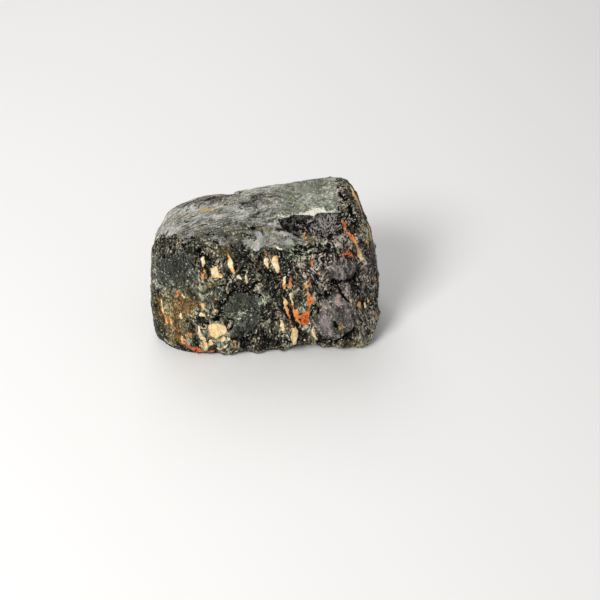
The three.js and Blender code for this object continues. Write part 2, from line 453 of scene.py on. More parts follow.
# %% Looking at the stone from its sides
FAR = 100.0
VIEWS = {  # which two coordinates are written, and the way of sight
    "front": ((0, 2), (0, 1, 0)),
    "back": ((0, 2), (0, -1, 0)),
    "right": ((1, 2), (-1, 0, 0)),
    "left": ((1, 2), (1, 0, 0)),
    "top": ((0, 1), (0, 0, -1)),
}
sight = BVHTree.FromPolygons(places.tolist(), [polygon.vertices[:] for polygon in skin.polygons])
ragged = places + wander(1.3, 0.3, 30) + wander(0.8, 0.2, 70)  # for uneven edges
skin_tree = search_tree(ragged)


def on_stone(view, across, up):
    """The point of the surface that is seen at that place from one side, or None."""
    (first, second), way = VIEWS[view]
    eye = Vector(way) * -FAR
    eye[first], eye[second] = across, up
    return sight.ray_cast(eye, Vector(way))[0]


print("the middle of the front:", on_stone("front", 0, 18))

# %% Stamping lines
EDGE_REACH = 1.5  # how far out a mark's edge distance is kept, in mm
STATION_GAP = 0.3


def stations_between(line):
    """The line's stations with more put between them, so that they lie close together."""
    line = np.array(line, float)
    parts = [line[:1]]
    for start, end in zip(line[:-1], line[1:]):
        length = np.linalg.norm((end - start)[:2])
        parts.append(np.linspace(start, end, 1 + max(1, round(length / STATION_GAP))))
    return np.concatenate(parts)


def stamp(view, lines, edge, tint=None):
    """Lowers `edge` to each point's distance from the lines' outlines, and keeps their tint."""
    for across, up, width, *tone in np.concatenate([stations_between(line) for line in lines]):
        middle = on_stone(view, across, up)
        if middle is None:
            continue
        for _, index, away in skin_tree.find_range(middle, width / 2 + EDGE_REACH):
            if away - width / 2 < edge[index]:
                edge[index] = away - width / 2
                if tint is not None:
                    tint[index] = tone[0]


print("a 3 mm line gets", len(stations_between([(0, 0, 1), (3, 0, 1)])), "stations")

# %% [markdown]
# ### Feldspar and rust
#
# The feldspar grew between the needles, so most of it shows as thin flakes that follow the grain.
# Iron from the water around it turned the thin tips orange. Each station is (across, up, width,
# rust) in millimetres, with rust from 0 for clean cream to 1 for deep orange.

# %% Streaks on the front
FRONT_STREAKS = [
    # the row of flakes below the brow, from the left
    [(-16.2, 32.4, 0.9, 0), (-16, 31, 1, 0.1), (-16.1, 29.8, 0.5, 0.2)],
    [(-15.8, 28.7, 0.5, 0.6), (-15.4, 26.6, 0.4, 0.7)],
    [(-16.5, 27.6, 0.4, 0.5), (-16.2, 26.3, 0.4, 0.6)], [(-12, 27.2, 0.8, 0.4), (-11.4, 27.3, 0.8, 0.6)],
    [(-6.7, 26.8, 0.9, 0.1), (-6.2, 26.4, 0.6, 0.1)],
    [(-4.5, 28.3, 0.5, 0.1), (-4.6, 26.5, 0.4, 0.1), (-4.4, 24.6, 0.7, 0.1)],
    [(1, 33.5, 0.4, 0.9), (1.1, 32.9, 0.5, 0.8)],
    [(0.8, 31.8, 0.9, 0.1), (0.9, 30.6, 0.8, 0), (1.2, 29.6, 0.3, 0.2)], [(4.5, 27, 0.7, 0.8)],
    [(3.6, 34.9, 0.5, 0), (4.9, 34, 0.6, 0)], [(13.2, 31.8, 0.4, 0.8), (13.2, 29.9, 0.5, 0.8)],
    # scattered grains down the left half
    [(-18, 24.8, 0.6, 0.4)], [(-13.1, 20.1, 0.7, 0.6)], [(-13.7, 16.5, 0.7, 0.3)],
    [(-16.7, 18.6, 0.8, 0.3), (-16.7, 17.6, 0.9, 0.3)], [(-17.3, 15, 1, 0.1), (-16.7, 14.9, 0.9, 0.1)],
    [(-15.5, 15.1, 0.6, 0.2)], [(-24, 20.8, 0.4, 0.7), (-23.9, 19.2, 0.8, 0.8)],
    [(-22.4, 20.2, 0.8, 0.1), (-22, 19.7, 0.8, 0.2)], [(-23.5, 13.9, 0.6, 0.1), (-23.4, 12.6, 0.7, 0.1)],
    [(-29, 16, 0.8, 0.1), (-29.1, 14.5, 0.5, 0.1), (-29.1, 12.4, 1.1, 0.2), (-28.6, 11.2, 1.1, 0.7),
     (-28, 9.3, 0.9, 0.5)], [(-26.4, 11, 0.7, 0.7), (-26.2, 9.7, 0.7, 0.4)],
    # low on the left
    [(-23.6, 6, 1, 0.3), (-23.5, 4.5, 1.3, 0.8)], [(-20.8, 8, 1.1, 0.7)],
    [(-18.4, 11.3, 0.4, 0.1), (-18.1, 9.9, 0.6, 0.1), (-17.7, 7.9, 0.7, 0.1), (-17.2, 7.2, 1, 0.1),
     (-17, 6, 0.9, 0.2), (-16.7, 4.5, 1.1, 0.2), (-16.9, 3.2, 0.8, 0.2)],
    [(-15.2, 6.5, 0.9, 0.1), (-15.1, 5.7, 1.3, 0.1), (-15.2, 5, 0.6, 0.1)],
    [(-22.3, 5, 0.6, 0.9), (-21.9, 3.9, 1, 1)], [(-20.9, 3.9, 0.5, 0.8), (-20.3, 3.2, 1.4, 0.9)],
    [(-19.4, 3.5, 1.1, 1), (-18.8, 2.6, 2.1, 0.9), (-17.8, 2.1, 1, 1)],
    [(-16, 2.1, 0.7, 0.9), (-15.4, 1.8, 1.1, 0.9), (-14.4, 2.3, 0.6, 0.9)], [(-19.4, 1.5, 0.8, 1)],
    # crumbs of feldspar below the many-sided patch
    [(-10.8, 8.8, 0.4, 0.5), (-10.4, 7.9, 0.6, 0.2), (-10.2, 7, 0.8, 0.1)],
    [(-11.6, 7.9, 0.6, 0.1), (-11.9, 6.7, 0.8, 0.1)], [(-13, 7, 0.6, 0.1)],
    [(-13.4, 3.7, 0.5, 0.1), (-12.2, 4, 0.5, 0.1)], [(-11.4, 4.3, 0.6, 0.1), (-10.6, 5, 0.5, 0.1)],
    [(-8.5, 6.8, 0.5, 0.8), (-8, 4, 0.5, 0.8)],
    # the long seam in the middle, which ends in a teardrop
    [(5.5, 20.2, 0.5, 0.2), (6, 18.5, 0.9, 0.2), (6.2, 16.9, 0.8, 0.5), (6.6, 15.4, 0.9, 0.3),
     (7, 14.1, 0.3, 0.6), (7.1, 12.9, 0.3, 0.6), (7.4, 11.6, 0.4, 0.6), (7.8, 10.4, 0.5, 0.4)],
    [(7.2, 21.6, 0.4, 0.1), (7.5, 20, 0.6, 0.1), (7.8, 18.8, 0.5, 0.3), (8, 17.4, 0.5, 0.7)],
    [(4.9, 12.9, 0.6, 0.1), (5.1, 11.6, 0.9, 0.1), (5.1, 10.4, 1.1, 0.2), (5.2, 9.5, 0.5, 0.2)],
    [(4.3, 10.1, 0.5, 0.3), (4.9, 10.3, 0.5, 0.2)],
    # rust round it
    [(5.9, 26.6, 0.6, 0), (5.6, 24.6, 0.6, 0.1)],
    [(5.4, 24.6, 0.5, 0.7), (5.6, 23.6, 0.9, 0.7), (5.9, 22.8, 0.4, 0.6)],
    [(7.5, 26.8, 0.3, 0.8), (7.1, 25, 0.5, 0.8), (7.4, 23.9, 0.8, 0.75)],
    [(12.3, 26, 0.3, 0.7), (12.7, 24.8, 0.4, 0.7), (11.9, 23.4, 0.4, 0.7), (11.2, 24.8, 0.3, 0.6)],
    [(11.9, 23.2, 0.3, 0.7), (12.3, 21.6, 0.6, 0.7), (12.6, 20.6, 0.9, 0.8)],
    [(12.6, 18.4, 0.5, 0.6), (12.3, 16.6, 0.5, 0.6)], [(14, 12.8, 0.5, 0.6), (14.4, 12.2, 0.6, 0.8)],
    [(13.5, 10.4, 0.5, 0), (13.8, 9, 0.7, 0.1), (14.6, 7.2, 0.6, 0.1)], [(11.3, 6.6, 0.7, 0.1)],
    # up the right-hand corner
    [(21.3, 39, 0.5, 0.8), (21.8, 37.4, 0.7, 0.8), (22.6, 36.2, 0.5, 0.7), (23.9, 34.8, 0.8, 0.8),
     (24.5, 33.8, 1.1, 0.6), (25.1, 32.2, 1.2, 0.3), (25.9, 30.4, 1.1, 0.2), (26.4, 28.6, 0.7, 0.2)],
    [(20.4, 32.2, 0.3, 0.9), (21.8, 32.4, 0.5, 0.9), (23, 32.2, 1, 0.9), (23.8, 31.4, 0.9, 0.9),
     (24.3, 30.6, 0.5, 0.9)], [(22.8, 32.6, 0.6, 0.9), (23.3, 33.6, 0.3, 0.9)], [(22.3, 30.6, 0.5, 0.7)],
    [(28.3, 32, 0.5, 0.4), (28.4, 30.6, 0.6, 0.5)], [(15.2, 27.4, 0.6, 0.7)],
    [(11.2, 36.4, 0.5, 0.6), (11.7, 35.8, 0.4, 0.5)], [(12.2, 36.2, 0.4, 0.7)], [(14.4, 36, 0.4, 0.6)],
    [(26.2, 16.4, 1.4, 0.5)], [(28.3, 14.8, 0.8, 0.1), (28.4, 13.9, 0.6, 0.1)], [(29.4, 14.8, 0.7, 0.3)],
    [(30.2, 13.4, 0.6, 0.2)],
]

RIGHT_STREAKS = [
    [(-0.7, 33.9, 0.9, 0.3), (-1.5, 33, 1.8, 0.4), (-2.3, 32, 1.8, 0.45), (-3.1, 30.8, 1, 0.5)],
    [(-6, 32.4, 0.6, 0.3), (-6, 31.6, 0.6, 0.4)], [(-10.9, 10, 0.3, 0.9), (-10.3, 8.6, 0.9, 1)],
    [(-7.3, 20.6, 0.4, 0.7), (-6.6, 19, 0.9, 0.7)],
]

# from above, the second number of a station is how far back it lies
TOP_STREAKS = [[
    (23.9, 7.6, 0.5, 0.1), (24.6, 6, 0.9, 0.2), (25, 4.4, 1.4, 0.3), (25.9, 2.2, 1.2, 0.5),
    (26.3, 0.2, 1.4, 0.4), (27, -1.4, 0.5, 0.6),
]]
print(len(FRONT_STREAKS), "streaks on the front and", len(RIGHT_STREAKS), "on the right")

# %% [markdown]
# ### Squared-off patches
#
# A feldspar crystal cut across shows straight sides, and so does the rust in the gap beside one.
# A line would round them off, so they are outlines, like the clean faces.

# %% Patches on the front
PATCHES = [  # rust at the foot, middle and head, then corners as (across, up), going round
    # the many-sided crystal near the foot
    ((0.22, 0.14, 0.16), [
        (-15.6, 11.5), (-14.9, 12), (-13, 12.7), (-11.2, 11.6), (-10.6, 10.7), (-10.6, 9.9),
        (-10.9, 9.2), (-11.9, 8.5), (-12.9, 8.4), (-13.7, 7.8), (-14.5, 8.2), (-15.2, 8.7),
    ]),
    # the square one with a small foot
    ((0.2, 0.1, 0.16), [
        (-14.1, 29.1), (-13.3, 29.4), (-12.4, 29.6), (-12.1, 28.7), (-12, 27.4), (-11.2, 27.4),
        (-11.2, 26.7), (-12.1, 26.7), (-13.1, 26.5), (-13.7, 27),
    ]),
    # the two pointed flakes below the brow
    ((0.6, 0, 0.7), [
        (-9.6, 33.8), (-9.1, 32.8), (-8.6, 32), (-8.1, 31), (-8, 29.9), (-7.7, 28.7),
        (-7.7, 27.5), (-8.5, 28.4), (-9.1, 29.4), (-9.5, 30.4), (-9.1, 31.8),
    ]),
    ((0.25, 0, 0.35), [
        (2.2, 31.3), (2.7, 32.3), (3.2, 32.7), (3.9, 32.7), (4, 31.5), (4.3, 29.9),
        (4.4, 28), (3.7, 28.2), (3.2, 29.6), (2.7, 30.4),
    ]),
    # the teardrop at the end of the long seam
    ((0.22, 0.1, 0.05), [
        (7.3, 8.2), (7.6, 9.6), (8, 10.6), (8.7, 10.9), (9.1, 10.1), (9.4, 8.9), (9.3, 7.6),
        (9, 6.5), (8.7, 5.4), (8.5, 4.6), (8, 4.7), (7.9, 5.8), (7.6, 7),
    ]),
    # rust in the fork beside it, and above it
    ((0.88, 0.92, 0.82), [
        (9.8, 14.3), (10.8, 14.8), (11.3, 16), (11.8, 16.6), (12.6, 16.4), (12.5, 15.2),
        (12.3, 14.1), (12.6, 12.9), (12.3, 11.6), (11.4, 12), (10.4, 11.9), (9.9, 12.6),
        (10.6, 13.2), (10.2, 14),
    ]),
    ((0.85, 0.7, 0.5), [
        (8, 15.7), (8.2, 16.8), (8.7, 16.1), (9.2, 17.2), (9.4, 15.7), (9.7, 14.4),
        (9.8, 13.2), (10.3, 12.4), (10.4, 11.9), (9.6, 12.3), (8.9, 12.9), (8.4, 14.1),
    ]),
    ((0.75, 0.82, 0.7), [
        (12.2, 20.6), (12.8, 20.9), (13.5, 20.3), (13.6, 19.1), (12.8, 18.3), (12, 18.5),
        (11.9, 19.7),
    ]),
]
print("an outline has", len(PATCHES[0][1]), "corners")

# %% Streaks on the sides that face away
TIP_RUST = (1, 0.5, 0.2, 0.4, 1)  # a flake rusts from its tips
TAPER = (0.5, 1, 1, 1, 0.4)  # and is narrow there


def scattered_streaks(count, across, up):
    """Flakes at random places, sized and leaning like the ones on the front."""
    lines = []
    for _ in range(count):
        side, head = chance.uniform((across[0], up[0]), (across[1], up[1]))
        drops = np.linspace(0, chance.uniform(1, 5.5), len(TAPER))
        sides = side + chance.uniform(0.05, 0.3) * drops + chance.normal(scale=0.15, size=len(TAPER))
        widths = chance.uniform(0.2, 1.2, len(TAPER)) * TAPER
        rusts = chance.uniform(0, 0.95) * np.array(TIP_RUST)
        lines.append(list(zip(sides, head - drops, widths, rusts)))
    return lines


streaks = [
    ("front", FRONT_STREAKS),
    ("right", RIGHT_STREAKS),
    ("top", TOP_STREAKS),
    ("back", scattered_streaks(30, (-24, 24), (6, 36))),
    ("left", scattered_streaks(6, (-4, 12), (6, 30))),
    ("right", scattered_streaks(8, (0, 14), (6, 34))),
]
print(sum(len(lines) for _, lines in streaks), "streaks in all")

# %% Stamp them all
feldspar = np.full(len(places), EDGE_REACH)
rust = np.zeros(len(places))
for view, lines in streaks:
    stamp(view, lines, feldspar, rust)

crisp_view = (places + 0.4 * (ragged - places))[:, [0, 2]]
for rusts, corners in PATCHES:
    away = outline_distance(crisp_view, corners)
    away[facing[:, 1] > ON_FRONT] = EDGE_REACH
    foot, head = min(up for _, up in corners), max(up for _, up in corners)
    tint = np.interp(z, [foot, (foot + head) / 2, head], rusts)
    rust = np.where(away < feldspar, tint, rust)
    feldspar = np.minimum(feldspar, away)
tell("feldspar", feldspar < 0)

# %% [markdown]
# ### Open cracks
#
# The cracks, and the holes left by lost grains, are stamped in the same way, with (across, up,
# width) at each station, and then cut into the skin as narrow grooves. The material paints them
# near-black, as painted shade.

# %% Cracks
FRONT_CRACKS = [  # (across, up, width)
    [(-12.4, 15.4, 0.5), (-11.8, 17.8, 0.7), (-10.3, 20, 0.9), (-9.4, 21.4, 0.8), (-8.2, 22.6, 0.7),
     (-6.4, 22.4, 0.5)], [(-5.8, 21.6, 0.6), (-3.9, 22.9, 0.9), (-2.1, 24.8, 0.9), (-0.3, 26, 0.5)],
    [(-5, 21.2, 0.4), (-3.6, 22.4, 0.5), (-2.2, 23.8, 0.4)],
    [(15.5, 24.9, 0.3), (17.4, 24.3, 0.4), (18.7, 24.8, 0.6), (20, 24.4, 0.8), (21.5, 24.7, 0.5),
     (23.2, 24.4, 0.7), (25.1, 23.7, 0.4)],
    [(19.9, 24.6, 0.9), (20.8, 22.3, 0.9), (21.6, 20.9, 0.5), (22.1, 20.1, 0.7), (23, 18.8, 0.4)],
    [(25.4, 27, 0.7), (25.6, 24, 1), (25.4, 20.6, 0.5)], [(18.4, 22.6, 0.8), (18, 21.5, 0.7)],
    [(15, 19.6, 0.4), (13.8, 17.4, 0.6), (13, 15, 0.5)],
    [(6.4, 17.4, 0.4), (8.2, 13, 0.7), (9.4, 10.6, 0.5)],
    [(-17, 35.4, 0.5), (-16.8, 34.2, 1), (-16.6, 32.7, 0.6)], [(-18.3, 35, 0.6), (-17.9, 33.5, 0.5)],
    [(-14.4, 14, 0.5), (-12.7, 14.2, 1), (-11.5, 14.3, 0.6)],
    [(17, 22.4, 0.7), (17.2, 21, 1), (17, 20.2, 0.5)], [(9.6, 6.8, 0.4), (9.8, 4.8, 0.5)],
    [(14.9, 6.3, 0.6), (19.6, 6.4, 0.9), (22.6, 7.6, 1), (24.5, 9, 1.1), (25.2, 10.9, 0.4)],
    # holes where a grain fell out
    [(4.2, 27.4, 0.9)], [(10.1, 13.3, 0.6)], [(19.5, 13.4, 0.8), (20, 12.2, 1), (20.4, 10.9, 0.5)],
    [(28.4, 8.5, 0.7)], [(23.6, 10.7, 0.5)], [(14.9, 16.9, 0.6), (14.9, 16, 0.6)], [(-13.9, 4.2, 0.9)],
    [(27.1, 16.4, 0.9)],
]
TOP_GAPS = [  # (across, back, width), dark slots between the leaves
    [(-6.6, 0, 0.2), (-5.2, -0.4, 0.5), (-3.8, -0.9, 0.3)], [(-16.4, -5.7, 0.5), (-15.2, -5.9, 0.4)],
    [(-15.2, -9.1, 0.4), (-13.2, -9.2, 0.5)], [(-21.8, -3.2, 0.3), (-20, -3.3, 0.4)],
    [(-6.2, 3, 0.3), (-5.2, 3.1, 0.4)], [(-10.6, 2.9, 0.4), (-9.4, 3, 0.5)],
    [(-3.6, -7.5, 0.5), (-2.6, -7.6, 0.7)], [(-29, -4.6, 0.3), (-25.8, -4.7, 0.5)],
    [(-20.4, -9.9, 0.5), (-18, -10.1, 0.7)], [(19.4, 4.4, 0.3), (20.6, 5.6, 0.5)],
    [(20.7, 2.9, 0.8), (21.6, 1.8, 1.4), (22.3, 0.3, 0.9)],
    [(23.4, -2.1, 0.9), (23.7, -3.8, 1.4), (24.1, -4.9, 0.8)],
]
CRACK_DEPTH = 0.75

crack = np.full(len(places), EDGE_REACH)
stamp("front", FRONT_CRACKS, crack)
stamp("top", TOP_GAPS, crack)
crack = np.minimum(crack, face_edge)  # parts of the clean faces' outlines gape
groove = -CRACK_DEPTH * ramp(crack, 0.3, -0.4)
tell("cracks", crack < 0)

# %% [markdown]
# ## Pushing the skin out
#
# Each point moves along its own normal by the sum of all relief. The feldspar stands a little
# proud, with less grain on it. The flat underside stays where it is, because the stone rests on
# it, and at the end the stone is brought back to the model's exact box.

# %% Move the skin
FELDSPAR_RISE = 0.12
FELDSPAR_SMOOTHNESS = 0.65  # how much of the relief its surface loses
is_feldspar = ramp(feldspar, 0.15, -0.15)
height = broad + fine * (1 - FELDSPAR_SMOOTHNESS * is_feldspar) + groove + FELDSPAR_RISE * is_feldspar
height -= height.mean()
grounded = ramp(z, 0.05, 1.2)
moved = places + facing * (height * grounded)[:, None]

wanted_low, wanted_high = np.array(cad_box) / MM
low, high = moved.min(axis=0), moved.max(axis=0)
moved = wanted_low + (moved - low) * (wanted_high - wanted_low) / (high - low)
skin.vertices.foreach_set("co", (moved * MM).ravel())
skin.shade_smooth()
skin.update()
print("relief runs from", round(height.min(), 2), "to", round(height.max(), 2), "mm")

# %% [markdown]
# ## What the material needs to know
#
# The shares and distances above are saved on the mesh as named attributes, which move with the
# stone and look the same from any side. Stains, and paler and darker places that are partly the
# stone's tone and partly painted light and shade, are added to them here, as round blots with
# uneven borders.

# %% Stained places
STAINS = {  # the middle and the radius of each blot, in mm
    "ochre": [
        ((-25, -14, 15), 7), ((-26, -15, 7), 6.5), ((-20.5, -15.5, 18), 5.5), ((-23, -17, 6), 5),
        ((-14, -15, 24.5), (3.5, 4, 2)), ((-10, -12.3, 33.4), (5, 3, 2)), ((-0.2, -8, 38.3), (3, 1.5, 2)),
        ((12.5, -9.8, 35.8), (3.6, 1.6, 1.2)), ((-30, -11, 12), (3, 4, 6)), ((25, -17.5, 4), 3.5),
        ((-23.5, -0.8, 35.6), (2.6, 1.6, 2)), ((-8, 19, 14), 9), ((16, 18, 26), 7), ((-33, 4, 12), 7),
    ],
    "mauve": [
        ((20, -17, 14), 9), ((17, -14, 28), 9), ((25, -11, 26), 9), ((28, -12, 10), 6),
        ((20, -8, 36), 7), ((26, -9, 33), 4), ((30, -4, 22), 9), ((20, 17, 14), 9), ((-14, 18, 28), 8),
    ],
    "lens": [((14, 18, 12), 5), ((-20, 18, 26), 4)],
    "lilac": [
        ((16.3, -17.3, 15), (1.7, 3, 4)), ((17.6, -18, 11), (2.4, 3, 3)),
        ((20, -16.2, 19.8), (1.3, 3, 2)), ((22, -15, 22.4), 1.5), ((27.5, -11.3, 20), (0.8, 3, 3)),
        ((18, 17, 13), 3),
    ],
    "pink": [((20.6, -15.6, 21), (0.9, 2.5, 1.7)), ((20.1, -16.5, 18.7), (0.7, 2, 1.2))],
    "slate": [((-28, -9, 25), (4, 6, 8)), ((8, -12, 34), (4, 4, 3)), ((-20, 18, 20), 8)],
    "sage": [
        ((-1.2, -16, 19.9), 2.6), ((-1, -16.3, 17.6), 1.8), ((1.6, -16, 20.1), 2.2),
        ((-7.5, -17.5, 13.4), (2.4, 3, 2)), ((-11.8, -19, 5.4), 1.6), ((3, -18, 10.6), 2),
        ((-20, -18, 5.6), 2), ((8, -12.5, 33), 3), ((-3.6, -12.6, 35), 2),
        ((0, 19, 24), 6), ((18, -3, 41), 2.2), ((12.5, -2, 41), 2.2),
    ],
}
stains = {name: np.clip(blots(rows), 0, 1) for name, rows in STAINS.items()}
stains["lens"] += face["lens"] + face["upper"] + 0.4 * face["corner"]
stains["slate"] += face["middle"] + face["small"] + face["left"]
ochre_dab = blots([
    ((-15.6, 1.8, 37.7), (2.6, 0.9, 2)), ((-21, 0, 37), (3, 1.4, 2), 0.6),
    ((21.2, -18, 11.9), (1.2, 2, 1.5), 0.75),
])
for name, share in stains.items():
    tell(name, share)

# %% Tone, and painted light and shade, in places
# each place is the stone's paler or darker tone, partly painted light and painted shade
TONE_AND_PAINTED_LIGHT = [  # the middle and radius of each pale or dark place, in mm, and how pale it is
    # the top: paler and darker tone, with painted light on its lit crests and painted shade on the dark
    # roll behind the brow
    ((-11, 1.5, 38), (8, 3, 3), 0.4), ((-18.5, 1.8, 37.4), (6.5, 4, 3), 1.2), ((-27, -1, 34), 4, 0.25),
    ((-20.5, -7.6, 36.5), (5, 2.2, 3), -0.6), ((-22.5, -10.4, 35.4), (3, 2, 2), -0.9),
    ((-16.5, -11.2, 36.2), (3, 2, 1.6), -1), ((-11.5, -8, 37.5), (7, 2, 3), -0.5),
    ((-7.4, -10.9, 36.4), (3, 1.8, 2), 0.6), ((-3, -0.8, 39.5), (2.6, 1.6, 2), -0.5),
    # the strongest pale place, on the shelf below the cliff, is painted light that lifts the cliff's own
    # shadow
    ((15.4, -10.9, 35.4), (4.5, 2.2, 2.2), 2.4), ((21.5, -2, 41.5), (2, 2, 2), 1.1),
    ((25.4, -7.2, 35.6), (1.6, 2, 2), 1.2), ((-20, -2.3, 37.2), (2.5, 1.4, 3), 0.9),
    ((-5.6, 6.5, 39), (3.5, 2, 3), 0.5), ((2.5, -11.2, 35.9), (5, 1.2, 1.2), -0.7),
    # the front below the brow, with painted rim light and pale dust along the left end
    ((-32, -7, 22), (3, 5, 13), 0.8), ((-23, -12, 29), (7, 5, 6), -0.4),
    ((-15, -13, 33.2), (4, 3, 2.4), -1.3), ((-6, -14, 29), (9, 5, 5), -0.35),
    ((-3.6, -13.9, 30), (2.2, 3, 2), -1.2), ((0.5, -12.8, 33), (5, 2.4, 1.8), -1),
    ((-10.2, -14.4, 26.6), (2.4, 3, 2.4), -1.4), ((-0.6, -16, 19.2), 2.4, 1.8),
    ((-3.4, -15.2, 23.5), (2, 3, 3.2), 0.9), ((-4.6, -13, 33.2), (2, 3, 1.6), -0.8),
    # low on the front, left of the seam, with painted shade along the foot
    ((-27, -14, 12.4), (3, 3, 3.4), 0.5), ((-17.4, -17, 13.2), (2.1, 3, 3.6), -1.5),
    ((-13.2, -17.3, 14.4), (3, 3, 1.5), -0.8), ((-7.4, -17.6, 12.2), (2.6, 3, 2.4), 0.5),
    ((-12, -19, 5.4), (3, 3, 2.2), 0.6), ((4.2, -16.7, 15.6), (2.8, 3, 4.5), -0.75),
    ((0, -18.7, 6), (8, 3, 3.6), -2.1), ((-2, -17.6, 10), (3, 3, 3), -0.6),
    ((7.8, -18.6, 7.4), (4.2, 3, 2.4), -1.3),
    # the front, right of the seam, with painted shade in the undercut near the foot
    ((15, -12.8, 30.8), (5.5, 5, 4), 0.75), ((19, -12.1, 32.8), (3, 3, 1.4), -0.8),
    ((21.7, -13.8, 26), (2, 3, 1.4), -0.8), ((9.3, -16.2, 19.5), (2, 3, 5), -0.8),
    ((17.4, -16.2, 20.4), (2.8, 3, 1.9), -1.3), ((20.1, -16.2, 19.5), (1.4, 3, 2.2), 0.4),
    ((16.6, -17.6, 13.4), (2.4, 3, 5), 0.5), ((12.7, -17.5, 13), (2, 3, 2.6), -1),
    ((22.8, -17.4, 14.2), (2, 3, 4), 1.5), ((27.2, -11.6, 20), (1.2, 3, 4), 0.6),
    ((24.7, -10.5, 30.4), (1.4, 3, 3), -0.5), ((27.2, -14.8, 11.6), (4, 4, 5), 1.2),
    ((28.6, -8, 27), (2.4, 5, 8), -0.6), ((24.4, -17.8, 8.6), (2, 3, 1.4), -0.8),
    ((18, -18.2, 5.6), (6, 3, 3), -0.9),
    # sides out of sight of the front
    ((0, 19, 20), (9, 5, 7), 0.3), ((14, 18, 30), (6, 5, 4), -0.3), ((-33, 6, 26), (4, 5, 8), 0.3),
]
# crumbly places, where the grain stands out more
LIVELY = [((15, -12, 32), (9, 5, 7)), ((3, -18.5, 6), (8, 4, 4)), ((12, -7, 38), (9, 3, 4))]
lively = 0.7 * np.clip(blots(LIVELY), 0, 1)
tell("crumbly ground", lively)

# %% The slab's crust, and painted glints on the cliff's fresh break
CRUST_BACK = -4.3  # how far back the crust reaches, and further near its right end
SLAB_SLOPE = 0.074  # how much the slab rises to the right and to the back
CLIFF_HEAD = (38.6, 39.3)  # where the cliff ends below the slab, if the slab were level
SLAB_HEIGHT = 39.5

crust_back = CRUST_BACK + near((15.4, -4, 41), (4, 6, 5), 1.5)
rim = cliff * ramp(z - SLAB_SLOPE * (x + y), *CLIFF_HEAD)
crust = within((bent[:, 1] - crust_back, 1, -1), (x, 20.5, 18.5)) * np.maximum(slab, rim)
crust *= 0.55 + 0.45 * ramp(x, 8.6, 11)
glint_share = ramp(x - 0.8 * (z - SLAB_HEIGHT), 8, 17)  # the painted glints grow stronger to the right
tell("the crust", crust)

# %% Save them on the skin
saved = {
    "top": top,
    "slab": slab,
    "cliff": cliff,
    "calm": calm - lively,
    "relief": np.clip((fine - layer) / 0.9 + groove, -0.5, 0.5),
    "leaf_level": leaf_level,
    "splinter_level": splinter_level,
    "feldspar": feldspar,
    "rust": rust,
    "crack": crack,
    "crust": crust,
    "ochre_dab": ochre_dab,
    # the stone's paler and darker tone, with painted light and shade in places
    "shade": blots(TONE_AND_PAINTED_LIGHT),
    "glazed": near((12, 6, 41.4), (5, 3.4, 3)),
    # painted highlight: grey glints on the cliff, stronger to the right
    "painted_glints": cliff * (0.5 + 0.5 * glint_share),
    **stains,
}
for name, values in saved.items():
    attribute = skin.attributes.new(name, "FLOAT", "POINT")
    attribute.data.foreach_set("value", values.astype(np.float32))
print("saved", ", ".join(saved))

# %% [markdown]
# ## Raw schorl, rock dust and feldspar
#
# Schorl is glossy black glass where it breaks clean. Here rock dust sits in the grain and a grey
# film of it covers the top, so the black shows only in the gaps and on fresh splits, and the gaps
# are painted darker still, as painted shade. The fine fleck is the ends of needles, each catching
# the light or not: it is painted into the colour as painted highlight and shade in pale and dark
# specks, and cut into the bump as well. It is 0.1 to 0.3 mm wide on the stone, and drawn at 0.3
# to 0.5 mm so that it shows.
#
# The material could be painted on an image, but a stone has no seams and no flat sides to unwrap.
# Nodes that read the place in the stone give the same grain on every side.

# %% One function for colour, and one for nodes
def linear(code):
    """An sRGB hex colour as the linear red, green, blue and alpha that Blender wants."""
    shares = [int(code[i : i + 2], 16) / 255 for i in (1, 3, 5)]
    return (*(s / 12.92 if s <= 0.04045 else ((s + 0.055) / 1.055) ** 2.4 for s in shares), 1)


schorl = bpy.data.materials.new("raw_black_schorl")
schorl.use_nodes = True
tree = schorl.node_tree
tree.nodes.clear()


def add(kind, inputs=(), output=0, stops=(), **settings):
    """Adds a node with its settings and links, and gives back one of its outputs.

    Inputs come in order, or by name, and each is a socket to link or a value to set. Only
    the sockets in use are counted, because many nodes hide the ones they don't need.
    """
    node = tree.nodes.new(f"ShaderNode{kind}")
    for name, value in settings.items():
        setattr(node, name, value)
    for number, (position, code) in enumerate(stops):
        elements = node.color_ramp.elements
        element = elements[number] if number < 2 else elements.new(position)
        element.position = position
        element.color = linear(code)
    sockets = [socket for socket in node.inputs if socket.enabled]
    named = {socket.name: socket for socket in sockets}
    for key, value in inputs.items() if isinstance(inputs, dict) else enumerate(inputs):
        socket = named[key] if isinstance(key, str) else sockets[key]
        if isinstance(value, bpy.types.NodeSocket):
            tree.links.new(value, socket)
        else:
            socket.default_value = value
    if isinstance(output, str):
        return node.outputs[output]
    results = [socket for socket in node.outputs if socket.enabled]
    return results[output] if results else None


kept = {name: add("Attribute", output="Fac", attribute_name=name) for name in saved}
print("the material reads", len(kept), "numbers at each point")

# %% [markdown]
# ### Grain of many sizes
#
# Each pattern is noise of one size, read at the place in the stone. The place is first shaken a
# little, so that nothing lines up, and then drawn out along the needles or the leaves. Where
# needles fan out in small sprays, each spray is turned its own way.

# %% Where the patterns are read
MIDDLE = (0.5, 0.5, 0.5)  # of a random colour
SHAKES = [(2.2, 7), (0.6, 1.4)]  # how far, and at what size, in mm
SPRAY = 2.8  # how wide one spray of needles is, in mm
SPRAY_TURNS = (0.6, 1.9, 0.6)  # how far apart the sprays may point about each axis, in radians
LEAN = -0.2  # the needles lean to the left by this angle
LEAF_STRETCH = 2.8  # how many times longer than wide

stone_place = add("TexCoord", output="Object")
shifted = [stone_place]
for far, size in SHAKES:
    swirl = add("TexNoise", {"Vector": stone_place, "Scale": 1 / (size * MM)}, output="Color")
    swirl = add("VectorMath", (swirl, MIDDLE), operation="SUBTRACT")
    inputs = (swirl, (far * MM,) * 3, shifted[-1])
    shifted.append(add("VectorMath", inputs, operation="MULTIPLY_ADD"))
swayed, shaken = shifted[1:]

